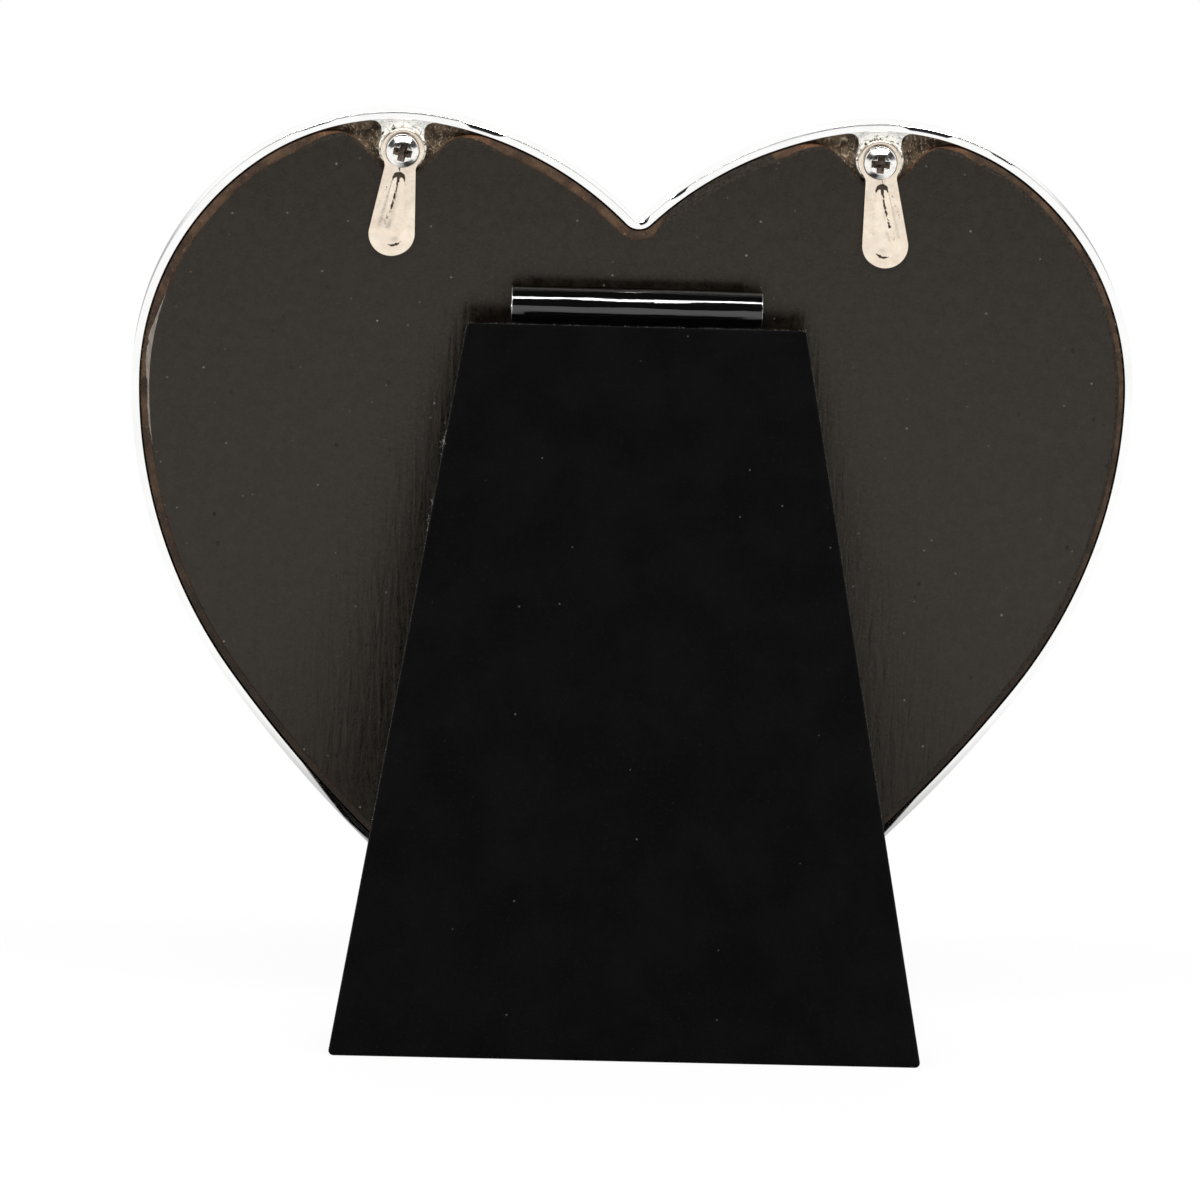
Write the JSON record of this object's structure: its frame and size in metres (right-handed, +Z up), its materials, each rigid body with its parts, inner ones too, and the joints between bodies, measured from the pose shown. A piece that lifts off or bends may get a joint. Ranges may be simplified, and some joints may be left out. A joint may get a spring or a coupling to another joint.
{
  "type": "heart shaped photo frame",
  "caption": "Free-standing heart shaped photo frame with a silver rim, glass, backboard held by turn tabs and a hinged velvet strut.",
  "frame": {"origin": "on the table under the middle of the standing frame's bounding box", "axes": "+X across the frame, +Y out of its back towards the strut's foot, +Z up; the front faces -Y"},
  "size_m": [0.1466, 0.0616, 0.1357],
  "materials": {
    "silver_plate": "polished plate",
    "clear_glass": "polished",
    "photo_paper": "matt blank insert",
    "grey_card": "matt",
    "fibre_board": "raw sanded fibre board",
    "charcoal_paper": "semi gloss grained paper",
    "black_lacquer": "gloss black",
    "staple_wire": "bright wire",
    "black_velvet": "short flocked pile",
    "black_paper": "matt",
    "satin_nickel": "satin champagne nickel",
    "bright_nickel": "bright nickel"
  },
  "bodies": {
    "frame": {"frame_casting": "silver_plate", "glass_pane": "clear_glass", "photo_insert": "photo_paper", "filler_card": "grey_card", "backboard": "fibre_board", "backboard_paper": "charcoal_paper", "hinge_board_leaf": "black_lacquer", "hinge_board_staples": "staple_wire", "tab_screw_left": "bright_nickel", "tab_screw_right": "bright_nickel"},
    "strut": {"hinge_barrel_leaf": "black_lacquer", "hinge_strut_staples": "staple_wire", "strut_core": "grey_card", "strut_velvet": "black_velvet", "strut_lining": "black_paper"},
    "tab_left": {"turn_tab_left": "satin_nickel"},
    "tab_right": {"turn_tab_right": "satin_nickel"}
  },
  "joints": [
    {"name": "strut_hinge", "type": "hinge", "parent": "frame", "child": "strut", "pos_m": [0, 0.00437, 0.10763], "axis": [1, 0, 0], "range_deg": [-26, 0]},
    {"name": "tab_left_turn", "type": "hinge", "parent": "frame", "child": "tab_left", "pos_m": [0.03467, 0.00657, 0.12961], "axis": [0, 0.9744, -0.225], "continuous": true},
    {"name": "tab_right_turn", "type": "hinge", "parent": "frame", "child": "tab_right", "pos_m": [-0.03467, 0.00657, 0.12961], "axis": [0, 0.9744, -0.225], "continuous": true}
  ]
}
